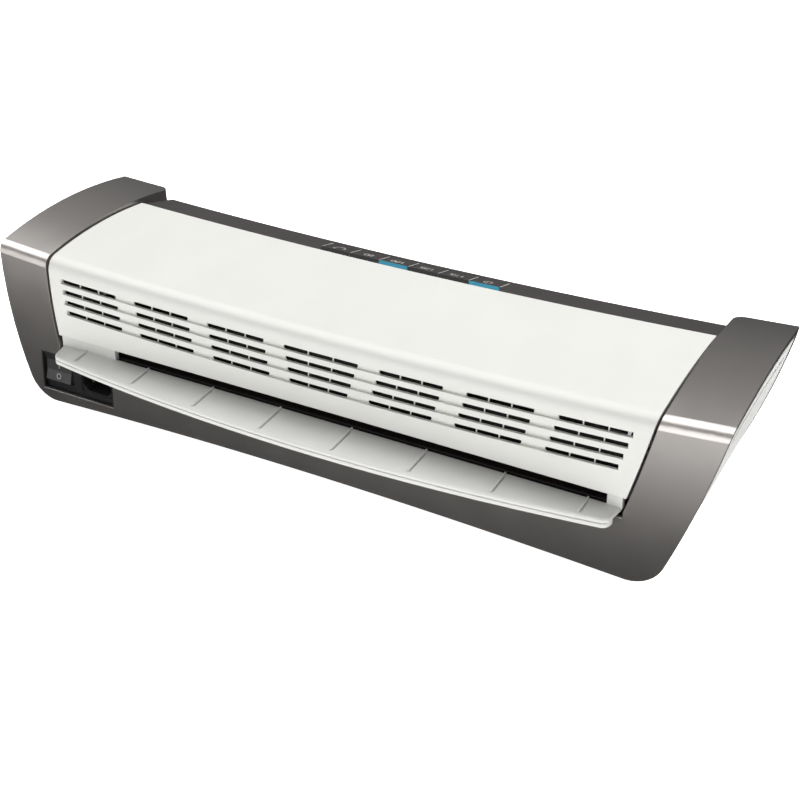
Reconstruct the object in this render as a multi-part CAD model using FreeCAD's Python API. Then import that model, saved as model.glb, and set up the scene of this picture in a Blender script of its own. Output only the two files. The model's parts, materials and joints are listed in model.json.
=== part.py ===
import FreeCAD, Part
import math
import os

from FreeCAD import Vector

# A3 pouch laminator, in millimetres.
# +Z is up and the origin is on the table, in the middle of the whole machine's footprint.
# The finished pouch leaves over the shelf at -Y; the operator feeds it in at +Y.

# ---- driving dimensions -------------------------------------------------------------------

WALL = 2.5                 # moulded wall thickness
SEAM = 0.4                 # gap between neighbouring mouldings

# side profile of the casing: two large arcs joined by a tight bend
FRONT_ARC_Y, FRONT_ARC_Z, FRONT_ARC_R = 360.4, -3.2, 427.8
TOWER_ARC_Y, TOWER_ARC_Z, TOWER_ARC_R = 20.1, -206.7, 315.0
TOWER_BEND = 8.5
TOWER_BOW_R = 2890.0       # the tower tops rise towards the ends along this radius
TOWER_DROP = 9.7           # rise of that bow from the middle to the ends
TOWER_BACK_Y = 76.9        # rear face at the top, in the middle of its plan curve
TOWER_BACK_R = 2590.0      # plan radius of the rear face
TOWER_BACK_LEAN = 7.0      # degrees
REAR_CORNER_R = 6.0

# side profile of the top cover, nearly flush with the casing
COVER_INSET = 1.0
COVER_ARC_Y, COVER_ARC_Z, COVER_ARC_R = 11.9, -200.7, 300.0
COVER_BEND = 11.0
COVER_BOW_R = 4750.0       # bow of the cover, the vents and the control strip
COVER_DROP = 4.2
COVER_BACK_Y = 37.8
COVER_BACK_R = 0.6
COVER_LIP_Z = 50.4

# front view of the casing: half widths at the front and at the back
SIDE_FRONT = [(214.0, 17.2), (228.6, 60.0), (238.2, 98.0)]
SIDE_BACK = [(207.0, 17.2), (223.6, 60.0), (233.9, 98.0)]
CORNER_FRONT = [(194.6, 4.0), (206.3, 7.8)]
CORNER_BACK = [(187.6, 4.0), (199.3, 7.8)]
BOTTOM_ARCH_Z = 8.4        # the bottom edge arches up in the middle
INNER_FRONT = [(188.8, 42.5), (195.9, 70.0), (201.5, 98.0)]
INNER_BACK = [(185.5, 42.5), (192.2, 70.0), (197.9, 98.0)]
OUTLINE_FRONT_Y, OUTLINE_BACK_Y = -70.0, 75.0
OUTLINE_TOP_Z = 125.0
TOWER_GAP = 1.6            # shadow gap between tower and cover
PANEL_GAP = 3.0            # shadow gap round each side panel
GROOVE_DROP, GROOVE_WIDTH = 12.0, 3.0    # slit below each side panel's upper edge
APRON_TOP_Z = 39.5

# pouch path
SLOT_X0, SLOT_X1 = -145.5, 178.8
PATH_Z = 47.0
SHELF_Z, SHELF_SLOPE = 44.0, 0.079
SHELF_BACK_Y, SHELF_FRONT_Y = -61.9, -88.2
SHELF_ARC_R = 1342.0
SHELF_HALF_BACK, SHELF_HALF_FRONT = 187.0, 184.5
SHELF_SKIN, SHELF_LIP = 2.0, 5.2
RIB_PITCH = 48.1
RIB_R, RIB_RISE = 0.65, 0.4
RIB_GROOVE_W, RIB_GROOVE_D = 0.9, 1.2    # groove along the +X side of each rib
SHELF_WALL_X = 187.4       # half span of the white walls beside the slot
EXIT_FRAME_Y = -59.2

# feed table
TABLE_TOP_Z, TABLE_T = 44.3, 2.2
TABLE_END_Y = 88.2
TABLE_HALF_X = 180.0
TABLE_RIBS = (-131.9, -57.4, 16.6, 90.7, 165.2)

# vents
VENT_ROWS = 4
VENT_TOP_Y, VENT_TOP_Z = -57.0, 81.4
VENT_STEP_Y, VENT_STEP_Z = -1.04, -6.2
VENT_HEIGHT = 3.0
VENT_END_R = 1.2
VENT_CHANNEL_DEPTH = 1.4
WEB_RECESS = 1.8           # the webs between the slots stand this far back
VENT_CUT_DEPTH = 8.0
VENT_WEB = 0.8
VENT_GROUPS = [(-188.0, -146.3), (-132.4, -92.5), (-78.3, -38.5), (-24.6, 24.6),
               (38.5, 78.3), (92.5, 132.4), (146.3, 188.0)]
VENT_ROW_SHIFT = 1.72      # each lower row is this much shorter at both ends

# control strip on top, sloping towards the operator
STRIP_Y, STRIP_Z = 37.8, 97.4
STRIP_SLOPE = 13.2         # degrees
STRIP_BACK_Y = 71.6
STRIP_EDGE_R = 4.0
KEY_COUNT = 6
KEY_PITCH = 20.8
KEY_X0 = -64.4
KEY_BAR = 0.8
KEY_PLAY = 0.3
LENS_PLAY = 0.1
KEY_DEPTH, STEM_END = 3.7, -5.2
BOARD_TOP, BOARD_T, SWITCH_TOP = -9.4, 1.6, -7.0
KEY_U0, KEY_U1 = 12.5, 28.0    # key field along the strip
LENS_U0, LENS_U1 = 1.4, 11.6
LENS_SLANT = 5.0
LIT_KEYS = (2, 5)
KEY_NAMES = ["key_reverse", "key_80_micron", "key_100_micron",
             "key_125_micron", "key_175_micron", "key_power"]

# mains panel
MAINS_X0, MAINS_X1, MAINS_Z0, MAINS_Z1 = -204.0, -147.5, 11.4, 37.0
ROCKER_X, ROCKER_Z = -191.9, 24.1
ROCKER_W, ROCKER_H = 20.0, 14.4
ROCKER_TILT = 11.7         # degrees each way from its middle
ROCKER_PIVOT_DEPTH = 2.35  # behind the panel's face
ROCKER_PIN_R = 1.5
INLET_X, INLET_Z = -162.3, 23.5
INLET_W, INLET_H = 24.2, 16.5
MAINS_FACE_Y = -64.0
MAINS_GAP, MAINS_RIM = 0.1, 0.9    # play of the panel in the casing, and width of its raised rim

# roller mechanism
ROLLER_Y = 28.0            # the two roller pairs sit at +-ROLLER_Y
ROLLER_R = 10.85
ROLLER_X0, ROLLER_X1 = -148.0, 180.0
SHAFT_R, JOURNAL_R = 5.0, 4.0
RUNNING = 0.05
GEAR_BORE_R = JOURNAL_R + 0.02
MODULE = 1.0
ROLLER_TEETH, IDLER_TEETH, PINION_TEETH = 22, 34, 16
GEAR_X0, GEAR_X1 = -166.0, -158.0
PLATE_LEFT_X, PLATE_RIGHT_X, PLATE_T = -153.0, 182.0, 2.0
LOWER_Z = PATH_Z - 11.0
UPPER_Z = PATH_Z + 11.0
MOTOR_Z = LOWER_Z + (IDLER_TEETH + PINION_TEETH) * MODULE / 2
SPRING_TOP_Z = UPPER_Z + 19.4

PAN_Z0, PAN_Z1 = 9.0, 11.5
PAN_HALF_X = 191.5
PAN_FRONT_Y, PAN_BACK_Y = -63.2, 55.2
FOOT_X, FOOT_Y = 170.0, 45.0
PLATE_TOP_Z = 84.0
PLATE_FRONT_Y = -50.0
BAFFLE_Y, BAFFLE_HALF_X = -53.5, 188.0

parts = {}


# ---- helpers ------------------------------------------------------------------------------

def box(x0, x1, y0, y1, z0, z1):
    return Part.makeBox(x1 - x0, y1 - y0, z1 - z0, Vector(x0, y0, z0))


def rod_x(x0, x1, y, z, r):
    return Part.makeCylinder(r, x1 - x0, Vector(x0, y, z), Vector(1, 0, 0))


def rod_z(x, y, z0, z1, r):
    return Part.makeCylinder(r, z1 - z0, Vector(x, y, z0), Vector(0, 0, 1))


def fuse(shapes):
    whole = shapes[0].multiFuse(shapes[1:]) if len(shapes) > 1 else shapes[0]
    return whole.removeSplitter()


def group(shapes):
    return Part.makeCompound(shapes)


def yz_face(points):
    """Flat face in the plane x = 0 from (y, z) corners."""
    corners = [Vector(0, y, z) for y, z in points]
    return Part.Face(Part.makePolygon(corners + corners[:1]))


def yz_slab(points, x0, x1):
    face = yz_face(points)
    face.translate(Vector(x0, 0, 0))
    return face.extrude(Vector(x1 - x0, 0, 0))


def arc(a, b, c):
    return Part.Arc(a, b, c).toShape()


def circle_meet(c1, r1, c2, r2):
    """The crossing of two circles in (y, z) that lies furthest towards -Y."""
    dy, dz = c2[0] - c1[0], c2[1] - c1[1]
    gap = math.hypot(dy, dz)
    along = (r1 * r1 - r2 * r2 + gap * gap) / (2 * gap)
    up = math.sqrt(r1 * r1 - along * along)
    middle = (c1[0] + along * dy / gap, c1[1] + along * dz / gap)
    offsets = [(-up * dz / gap, up * dy / gap), (up * dz / gap, -up * dy / gap)]
    return min((middle[0] + o[0], middle[1] + o[1]) for o in offsets)


def bow_sweep(face, bow_r, half_angle):
    """Sweeps a face of the plane x = 0 to both sides along the bow, which rises to the ends."""
    axis_point = Vector(0, 0, bow_r + OUTLINE_TOP_Z)
    start = face.copy()
    start.rotate(axis_point, Vector(0, 1, 0), -half_angle)
    return start.revolve(axis_point, Vector(0, 1, 0), 2 * half_angle)


def on_bow(shape, x):
    """Moves a shape made at x = 0 along the cover's bow to x."""
    centre_z = COVER_BOW_R + OUTLINE_TOP_Z
    moved = shape.copy()
    moved.rotate(Vector(0, 0, centre_z), Vector(0, 1, 0), -math.degrees(x / (centre_z - STRIP_Z)))
    return moved


def bow_edges(solid, bow_r, y, z):
    """The edges of a swept solid that pass through (y, z) of its section."""
    axis_z = bow_r + OUTLINE_TOP_Z
    found = []
    for edge in solid.Edges:
        p = edge.valueAt((edge.FirstParameter + edge.LastParameter) / 2)
        if abs(p.y - y) < 0.02 and abs(math.hypot(p.x, axis_z - p.z) - (axis_z - z)) < 0.02:
            found.append(edge)
    return found


def profile_block(front, top, bend, bow_r, back_y, bottom_z, inset=0.0):
    """Bowed solid behind the front arc and under the top arc, with its bend rounded."""
    fy, fz, fr = front[0], front[1], front[2] - inset
    ty, tz, tr = top[0], top[1], top[2] - inset
    corner = circle_meet((fy, fz), fr, (ty, tz), tr)
    foot_y = fy - math.sqrt(fr * fr - (bottom_z - fz) ** 2)
    mid_z = (bottom_z + corner[1]) / 2
    mid_front = Vector(0, fy - math.sqrt(fr * fr - (mid_z - fz) ** 2), mid_z)
    back_z = tz + math.sqrt(tr * tr - (back_y - ty) ** 2)
    mid_y = (corner[0] + back_y) / 2
    mid_top = Vector(0, mid_y, tz + math.sqrt(tr * tr - (mid_y - ty) ** 2))
    foot, bend_point = Vector(0, foot_y, bottom_z), Vector(0, *corner)
    back_top, back_foot = Vector(0, back_y, back_z), Vector(0, back_y, bottom_z)
    edges = [arc(foot, mid_front, bend_point), arc(bend_point, mid_top, back_top),
             Part.makeLine(back_top, back_foot), Part.makeLine(back_foot, foot)]
    solid = bow_sweep(Part.Face(Part.Wire(edges)), bow_r, 5.2)
    if inset >= bend:
        return solid
    return solid.makeFillet(bend - inset, bow_edges(solid, bow_r, *corner))


def tower_block(inset=0.0, bottom_z=-10.0):
    front = (FRONT_ARC_Y, FRONT_ARC_Z - TOWER_DROP, FRONT_ARC_R)
    top = (TOWER_ARC_Y, TOWER_ARC_Z - TOWER_DROP, TOWER_ARC_R)
    return profile_block(front, top, TOWER_BEND, TOWER_BOW_R, 95.0, bottom_z, inset)


def cover_block(inset=0.0):
    front = (FRONT_ARC_Y, FRONT_ARC_Z - COVER_DROP, FRONT_ARC_R - COVER_INSET)
    top = (COVER_ARC_Y, COVER_ARC_Z, COVER_ARC_R)
    return profile_block(front, top, COVER_BEND, COVER_BOW_R, COVER_BACK_Y, 20.0, inset)


def rear_cylinder(inset=0.0):
    """Everything in front of the leaning, gently curved rear face."""
    lean = math.radians(TOWER_BACK_LEAN)
    axis = Vector(0, math.sin(lean), math.cos(lean))
    outward = Vector(0, math.cos(lean), -math.sin(lean))
    surface = Vector(0, TOWER_BACK_Y, 105.0)
    base = surface - outward * TOWER_BACK_R - axis * 200.0
    return Part.makeCylinder(TOWER_BACK_R - inset, 400.0, base, axis)


def mirrored(points):
    return [(-x, z) for x, z in points]


def outline_wire(side, corner, y, inset):
    """Front view of the whole casing at the depth y, drawn in by inset."""
    def at(p):
        return Vector(p[0], y, p[1])

    right = [(x - inset, z) for x, z in side]
    low = (corner[0][0], corner[0][1] + inset)
    bulge = (corner[1][0] - inset * 0.7, corner[1][1] + inset * 0.7)
    top_x = right[2][0] + 4.0
    left = mirrored(right)
    edges = [arc(at((-low[0], low[1])), at((0, BOTTOM_ARCH_Z + inset)), at(low)),
             arc(at(low), at(bulge), at(right[0])),
             arc(at(right[0]), at(right[1]), at(right[2])),
             Part.makeLine(at(right[2]), at((top_x, OUTLINE_TOP_Z))),
             Part.makeLine(at((top_x, OUTLINE_TOP_Z)), at((-top_x, OUTLINE_TOP_Z))),
             Part.makeLine(at((-top_x, OUTLINE_TOP_Z)), at(left[2])),
             arc(at(left[2]), at(left[1]), at(left[0])),
             arc(at(left[0]), at((-bulge[0], bulge[1])), at((-low[0], low[1])))]
    return Part.Wire(edges)


def outline_prism(inset=0.0):
    wires = [outline_wire(SIDE_FRONT, CORNER_FRONT, OUTLINE_FRONT_Y, inset),
             outline_wire(SIDE_BACK, CORNER_BACK, OUTLINE_BACK_Y, inset)]
    return Part.makeLoft(wires, True, True)


def inner_wire(half, y, grow):
    """Front view of the bay between the towers at the depth y, widened by grow."""
    def at(x, z):
        return Vector(x, y, z)

    low, mid, high = [(x + grow, z) for x, z in half]
    top = (high[0] + 3.0, OUTLINE_TOP_Z)
    edges = [Part.makeLine(at(-low[0], -5.0), at(low[0], -5.0)),
             Part.makeLine(at(low[0], -5.0), at(*low)),
             arc(at(*low), at(*mid), at(*high)),
             Part.makeLine(at(*high), at(*top)),
             Part.makeLine(at(*top), at(-top[0], top[1])),
             Part.makeLine(at(-top[0], top[1]), at(-high[0], high[1])),
             arc(at(-high[0], high[1]), at(-mid[0], mid[1]), at(-low[0], low[1])),
             Part.makeLine(at(-low[0], low[1]), at(-low[0], -5.0))]
    return Part.Wire(edges)


def bay_prism(grow=0.0):
    wires = [inner_wire(INNER_FRONT, OUTLINE_FRONT_Y, grow),
             inner_wire(INNER_BACK, OUTLINE_BACK_Y, grow)]
    return Part.makeLoft(wires, True, True)


def to_strip(shape):
    """From the strip's own frame (x, distance along the strip, height above it) to the machine's."""
    placed = shape.copy()
    placed.rotate(Vector(0, 0, 0), Vector(1, 0, 0), -STRIP_SLOPE)
    placed.translate(Vector(0, STRIP_Y, STRIP_Z))
    return placed


# ---- casing -------------------------------------------------------------------------------

def make_outer_casing():
    outer = tower_block().common(outline_prism()).common(rear_cylinder())
    core = tower_block(WALL, -30.0).common(rear_cylinder(WALL))
    bay = bay_prism()
    above_apron = bay.common(box(-230, 230, -100, 40, APRON_TOP_Z, 130))
    rear_bay = bay.common(box(-230, 230, 10, 100, -20, 130))
    outer = outer.cut(above_apron).cut(rear_bay)
    outer = outer.makeFillet(REAR_CORNER_R, rear_corner_edges(outer))
    ring = bay_prism(WALL).cut(bay).common(outer)
    deep = tower_block(13.0, -30.0).common(box(-230, 230, -80, 40, -30, 130))
    ring = ring.cut(deep).cut(box(-230, 230, 10, 100, -20, PAN_Z1 + 0.5))
    ring = ring.cut(box(-230, 230, -100, 10, -20, APRON_TOP_Z))
    mains = box(MAINS_X0, MAINS_X1, -80, -50, MAINS_Z0, MAINS_Z1)
    parts["outer_casing"] = fuse([outer.cut(core), ring]).cut(mains)


def rear_corner_edges(casing):
    """The upright edges where the towers' inner walls meet the rear face."""
    face = rear_cylinder().Faces[0]
    found = []
    for edge in casing.Edges:
        p = edge.valueAt((edge.FirstParameter + edge.LastParameter) / 2)
        upright = edge.BoundBox.ZLength > 2 and edge.BoundBox.XLength < 20 and edge.BoundBox.YLength < 12
        at_tower = p.y > 55 and abs(p.x) < 205 and p.z > 30
        if at_tower and upright and face.distToShape(Part.Vertex(p))[0] < 0.05:
            found.append(edge)
    return found


def make_side_panels():
    recess = SEAM
    shell = outline_prism(recess).cut(outline_prism(recess + WALL))
    inside = tower_block(WALL + PANEL_GAP, -30.0).common(rear_cylinder(WALL + PANEL_GAP))
    shell = shell.common(inside).cut(bay_prism(WALL + SEAM))
    shell = shell.cut(box(-193, 193, -100, 100, -20, 130))
    groove_r = TOWER_ARC_R - GROOVE_DROP
    groove = rod_x(-300, 300, TOWER_ARC_Y - 4.0, TOWER_ARC_Z, groove_r)
    groove = groove.cut(rod_x(-300, 300, TOWER_ARC_Y - 4.0, TOWER_ARC_Z, groove_r - GROOVE_WIDTH))
    shell = shell.cut(groove.common(box(-300, 300, -44, 50, 40, 130)))
    parts["side_panel_left"] = shell.common(box(-300, -100, -200, 200, -50, 200))
    parts["side_panel_right"] = shell.common(box(100, 300, -200, 200, -50, 200))


def vent_section(y, z, back, front):
    """Section of one vent slot in the plane x = 0; back and front are depths along the face normal."""
    lean = math.atan2(-VENT_STEP_Y, -VENT_STEP_Z)
    ny, nz = math.cos(lean), -math.sin(lean)
    ty, tz = math.sin(lean), math.cos(lean)
    half = VENT_HEIGHT / 2
    corners = [(front, -half), (back, -half), (back, half), (front, half)]
    return yz_face([(y + n * ny + t * ty, z + n * nz + t * tz) for n, t in corners])


def vent_span(section, x0, x1):
    """Sweeps a vent section along the bow from x0 to x1."""
    axis_z = COVER_BOW_R + OUTLINE_TOP_Z
    radius = axis_z - section.CenterOfMass.z
    start = section.copy()
    start.rotate(Vector(0, 0, axis_z), Vector(0, 1, 0), -math.degrees(x0 / radius))
    return start.revolve(Vector(0, 0, axis_z), Vector(0, 1, 0), -math.degrees((x1 - x0) / radius))


def plate_ribs(y0, y1):
    """Two ribs by which a moulding stands on the top edges of the frame plates."""
    ribs = [box(x, x + PLATE_T, y0, y1, PLATE_TOP_Z, OUTLINE_TOP_Z) for x in (PLATE_LEFT_X, PLATE_RIGHT_X)]
    return group(ribs)


def make_top_cover():
    back_z = COVER_ARC_Z + math.sqrt(COVER_ARC_R ** 2 - (COVER_BACK_Y - COVER_ARC_Y) ** 2)
    block = cover_block()
    block = block.makeFillet(COVER_BACK_R, bow_edges(block, COVER_BOW_R, COVER_BACK_Y, back_z))
    shell = block.cut(cover_block(WALL))
    back_flange = box(-230, 230, COVER_BACK_Y - WALL, COVER_BACK_Y, 86, 110).common(block)
    ribs = plate_ribs(-36.0, 30.0).common(cover_block(1.0))
    shell = fuse([shell, back_flange, ribs]).common(bay_prism(-TOWER_GAP))
    shell = shell.cut(box(-250, 250, -100, 60, -20, COVER_LIP_Z))
    cutters = []
    for row in range(VENT_ROWS):
        y = VENT_TOP_Y + row * VENT_STEP_Y
        z = VENT_TOP_Z + row * VENT_STEP_Z
        channel = vent_section(y, z, VENT_CHANNEL_DEPTH, -3.0)
        mouth = vent_section(y, z, WEB_RECESS, -3.0)
        through = vent_section(y, z, VENT_CUT_DEPTH - 3.0, -3.0)
        end_x = VENT_GROUPS[-1][1] - row * VENT_ROW_SHIFT
        cutters.append(vent_span(channel, -end_x, end_x))
        for x0, x1 in VENT_GROUPS:
            shift = row * VENT_ROW_SHIFT
            x0 = x0 - math.copysign(shift, x0)
            x1 = x1 - math.copysign(shift, x1)
            step = (x1 - x0 + VENT_WEB) / 3
            slot = vent_span(through, x0, x1)
            corners = [e for e in slot.Edges if abs(e.Length - VENT_CUT_DEPTH) < 0.01]
            slot = slot.makeFillet(VENT_END_R, corners)
            webs = [box(x0 + n * step - VENT_WEB, x0 + n * step, -90, -40, 40, 120) for n in (1, 2)]
            cutters.append(slot.common(vent_span(mouth, x0, x1)))
            cutters.append(slot.cut(group(webs)))
    parts["top_cover"] = shell.cut(group(cutters))


def strip_profile(inset):
    """Closed (y, z) outline of the control panel: the strip, the rolled edge and the fascia."""
    slope = math.tan(math.radians(STRIP_SLOPE))
    y0 = STRIP_Y + SEAM
    z0 = STRIP_Z - SEAM * slope - inset
    back = STRIP_BACK_Y - inset
    z_back = STRIP_Z - (back - STRIP_Y) * slope - inset
    return [(y0, z0), (back, z_back), (back - 6.5, 44.6), (y0, 44.6)]


def make_control_panel():
    outer_face = yz_face(strip_profile(0.0))
    outer = bow_sweep(outer_face, COVER_BOW_R, 3.0)
    edge = strip_profile(0.0)[1]
    outer = outer.makeFillet(STRIP_EDGE_R, bow_edges(outer, COVER_BOW_R, *edge))
    inner_points = strip_profile(WALL)
    inner_points = [(STRIP_Y - 5, inner_points[0][1] + 1.0), inner_points[1],
                    (inner_points[2][0], 20.0), (STRIP_Y - 5, 20.0)]
    inner = bow_sweep(yz_face(inner_points), COVER_BOW_R, 3.5)
    ribs = plate_ribs(STRIP_Y + 1.0, 47.0).common(bow_sweep(yz_face(strip_profile(1.0)), COVER_BOW_R, 3.0))
    shell = fuse([outer.cut(inner), ribs]).common(bay_prism(-0.6))
    shell = shell.cut(box(SLOT_X0 - 2.5, SLOT_X1 + 2.2, 50, 90, 20, 51.0))
    cutters = []
    for n in range(KEY_COUNT):
        x = KEY_X0 + (n + 0.5) * KEY_PITCH
        half = (KEY_PITCH - KEY_BAR) / 2
        cutters.append(on_bow(to_strip(box(-half, half, KEY_U0, KEY_U1, -8, 8)), x))
        cutters.append(on_bow(to_strip(lens_shape(LENS_PLAY, -8.0, 8.0)), x))
    parts["control_panel"] = shell.cut(group(cutters))


def lens_shape(grow, z0, z1):
    """One indicator lens at x = 0 in the strip's frame: a bar with slanted ends."""
    half = (KEY_PITCH - KEY_BAR) / 2 - LENS_PLAY
    shift = LENS_SLANT
    outline = [(-half + shift - grow, LENS_U0 - grow), (half + shift + grow, LENS_U0 - grow),
               (half + grow, LENS_U1 + grow), (-half - grow, LENS_U1 + grow)]
    corners = [Vector(x, u, z0) for x, u in outline]
    return Part.Face(Part.makePolygon(corners + corners[:1])).extrude(Vector(0, 0, z1 - z0))


def make_indicators():
    lit, dark = [], []
    for n in range(KEY_COUNT):
        x = KEY_X0 + (n + 0.5) * KEY_PITCH
        lens = on_bow(to_strip(lens_shape(0.0, -WALL, 0.05)), x)
        (lit if n in LIT_KEYS else dark).append(lens)
    parts["indicator_lenses_lit"] = group(lit)
    parts["indicator_lenses_dark"] = group(dark)


def make_keys():
    half = (KEY_PITCH - KEY_BAR) / 2 - KEY_PLAY
    for n, name in enumerate(KEY_NAMES):
        x = KEY_X0 + (n + 0.5) * KEY_PITCH
        cap = box(-half, half, KEY_U0 + KEY_PLAY, KEY_U1 - KEY_PLAY, -KEY_DEPTH, 0.0)
        rim = [e for e in cap.Edges if abs(e.CenterOfMass.z) < 0.01]
        cap = cap.makeFillet(0.35, rim)
        flange = box(-half, half, KEY_U0 - 1.0, KEY_U1 + 1.0, -KEY_DEPTH, -WALL - KEY_PLAY)
        stem = rod_z(0, (KEY_U0 + KEY_U1) / 2, STEM_END, -KEY_DEPTH + 0.2, 2.0)
        parts[name] = on_bow(to_strip(fuse([cap, flange, stem])), x)


def make_control_board():
    board = to_strip(box(-72, 68, 3.0, 30.5, BOARD_TOP - BOARD_T, BOARD_TOP))
    parts["control_board"] = board
    switches = []
    for n in range(KEY_COUNT):
        x = KEY_X0 + (n + 0.5) * KEY_PITCH
        u = (KEY_U0 + KEY_U1) / 2
        body = box(x - 3, x + 3, u - 3, u + 3, BOARD_TOP, SWITCH_TOP)
        cap = rod_z(x, u, SWITCH_TOP, SWITCH_TOP + 0.9, 1.6)
        switches.append(to_strip(fuse([body, cap])))
    parts["tact_switches"] = group(switches)


def shelf_plan(inset, z0, z1):
    """The shelf seen from above, as a prism: straight at the back, bowed at the front."""
    front = SHELF_FRONT_Y + inset
    half_back = SHELF_HALF_BACK - inset
    half_front = SHELF_HALF_FRONT - inset
    side_y = front + half_front ** 2 / (2 * SHELF_ARC_R)
    corners = [Vector(-half_back, SHELF_BACK_Y, z0), Vector(half_back, SHELF_BACK_Y, z0),
               Vector(half_front, side_y, z0), Vector(-half_front, side_y, z0)]
    edges = [Part.makeLine(corners[0], corners[1]), Part.makeLine(corners[1], corners[2]),
             arc(corners[2], Vector(0, front, z0), corners[3]), Part.makeLine(corners[3], corners[0])]
    prism = Part.Face(Part.Wire(edges)).extrude(Vector(0, 0, z1 - z0))
    upright = [e for e in prism.Edges if abs(e.CenterOfMass.z - (z0 + z1) / 2) < 0.01
               and e.CenterOfMass.y < SHELF_BACK_Y - 2]
    return prism.makeFillet(max(5.0 - inset, 1.0), upright)


def shelf_layer(top_drop, bottom_drop):
    """Sloping slab between two depths under the shelf's top face."""
    far = SHELF_FRONT_Y - 5
    fall = (SHELF_BACK_Y + 1 - far) * SHELF_SLOPE
    points = [(SHELF_BACK_Y + 1, SHELF_Z - top_drop), (far, SHELF_Z - fall - top_drop),
              (far, SHELF_Z - fall - bottom_drop), (SHELF_BACK_Y + 1, SHELF_Z - bottom_drop)]
    return yz_slab(points, -200, 200)


def make_outfeed_shelf():
    plan = shelf_plan(0.0, 30, 50)
    plate = plan.common(shelf_layer(0.0, SHELF_SKIN))
    lip = plan.cut(shelf_plan(2.4, 29, 51)).common(shelf_layer(0.0, SHELF_LIP))
    lip = lip.common(box(-200, 200, -100, -70, 20, 50))
    plate = fuse([plate, lip])
    rim = [e for e in plate.Edges if e.CenterOfMass.y < -66
           and abs(e.CenterOfMass.z - (SHELF_Z + (e.CenterOfMass.y - SHELF_BACK_Y) * SHELF_SLOPE)) < 0.15]
    plate = plate.makeFillet(1.0, rim)
    groove = plan.cut(shelf_plan(0.5, 29, 51)).common(shelf_layer(2.3, 2.9))
    plate = plate.cut(groove.common(box(-200, 200, -100, -74, 20, 50)))
    foot = box(SLOT_X0 - 4.5, SLOT_X1 + 3.2, SHELF_BACK_Y - 2.1, SHELF_BACK_Y, APRON_TOP_Z, SHELF_Z - 1.4)
    wall_z = (SHELF_Z - 1.0, COVER_LIP_Z - 0.2)
    walls = [box(-SHELF_WALL_X, SLOT_X0, SHELF_BACK_Y - 0.6, EXIT_FRAME_Y, *wall_z),
             box(SLOT_X1, SHELF_WALL_X, SHELF_BACK_Y - 0.6, EXIT_FRAME_Y, *wall_z)]
    pieces, grooves = [plate, foot] + walls, []
    tilt = math.degrees(math.atan(SHELF_SLOPE))
    for n in range(4):
        for sign in (-1, 1):
            x = sign * (n + 0.5) * RIB_PITCH
            tip = SHELF_FRONT_Y + x * x / (2 * SHELF_ARC_R) + 3.0
            crest = Part.makeCylinder(RIB_R, SHELF_BACK_Y - tip, Vector(x, tip, RIB_RISE), Vector(0, 1, 0))
            web = box(x - RIB_R, x + RIB_R, tip, SHELF_BACK_Y, -0.5, RIB_RISE)
            nose = Part.makeSphere(RIB_R, Vector(x, tip, RIB_RISE))
            rib = fuse([crest, web, nose, rod_z(x, tip, -0.5, RIB_RISE, RIB_R)])
            groove = box(x + RIB_R, x + RIB_R + RIB_GROOVE_W, tip, SHELF_BACK_Y - 3.0, -RIB_GROOVE_D, 1.0)
            for piece in (rib, groove):
                piece.rotate(Vector(0, SHELF_BACK_Y, 0), Vector(1, 0, 0), tilt)
                piece.translate(Vector(0, 0, SHELF_Z))
            pieces.append(rib)
            grooves.append(groove)
    parts["outfeed_shelf"] = fuse(pieces).cut(group(grooves))


def make_exit_frame():
    """Dark frame round the exit slot, behind the shelf's end walls and the cover's lip."""
    back = EXIT_FRAME_Y + 2.5
    frame = box(-186, 186, EXIT_FRAME_Y, back, 36.0, COVER_LIP_Z + 2.2)
    frame = frame.cut(box(SLOT_X0, SLOT_X1, -60, -50, SHELF_Z, COVER_LIP_Z + 0.4))
    tabs = [box(x, x + 2.0, back - 0.3, -42.0, 45.2, COVER_LIP_Z + 1.6)
            for x in (PLATE_LEFT_X + PLATE_T, PLATE_RIGHT_X - 2.0)]
    parts["exit_frame"] = fuse([frame] + tabs)


def make_vent_baffle():
    """Black sheet behind the vents that hides the rollers, with tabs against the frame plates."""
    y0, z0, z1 = BAFFLE_Y, COVER_LIP_Z + 2.6, 80.0
    sheet = box(-BAFFLE_HALF_X, BAFFLE_HALF_X, y0, y0 + 1.0, z0, z1)
    fold = box(-BAFFLE_HALF_X, BAFFLE_HALF_X, y0, -50.2, z1 - 1.0, z1)
    tabs = [box(x, x + PLATE_T, y0, PLATE_FRONT_Y, 58.0, 72.0) for x in (PLATE_LEFT_X, PLATE_RIGHT_X)]
    parts["vent_baffle"] = fuse([sheet, fold] + tabs)


def make_feed_side():
    wall = yz_slab([(63.0, 41.4), (63.0 - WALL, 41.4), (58.0 - WALL, 9.5), (58.0, 9.5)], -185.2, 185.2)
    flange = box(-150, 150, 50.0, 56.5, PAN_Z1, PAN_Z1 + 1.5)
    parts["feed_cover"] = fuse([wall, flange])
    top, end = TABLE_TOP_Z, TABLE_END_Y
    outside = box(-TABLE_HALF_X, TABLE_HALF_X, 57.0, end, top - TABLE_T, top)
    corners = [e for e in outside.Edges
               if e.CenterOfMass.y > end - 1 and abs(e.CenterOfMass.z - top + TABLE_T / 2) < 0.1]
    outside = outside.makeFillet(8.0, corners)
    lip = outside.cut(box(-TABLE_HALF_X + 2, TABLE_HALF_X - 2, 50, end - 2.0, 20, 60))
    lip = lip.common(box(-200, 200, end - 8, end + 5, 20, 60))
    lip.translate(Vector(0, 0, -2.0))
    inside = box(PLATE_LEFT_X + PLATE_T, PLATE_RIGHT_X, 44.0, 59.0, top - TABLE_T, top)
    ribs = [box(x - 0.5, x + 0.5, 64.0, end - 4, top, top + 0.5) for x in TABLE_RIBS]
    parts["infeed_table"] = fuse([outside, lip, inside] + ribs)


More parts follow.
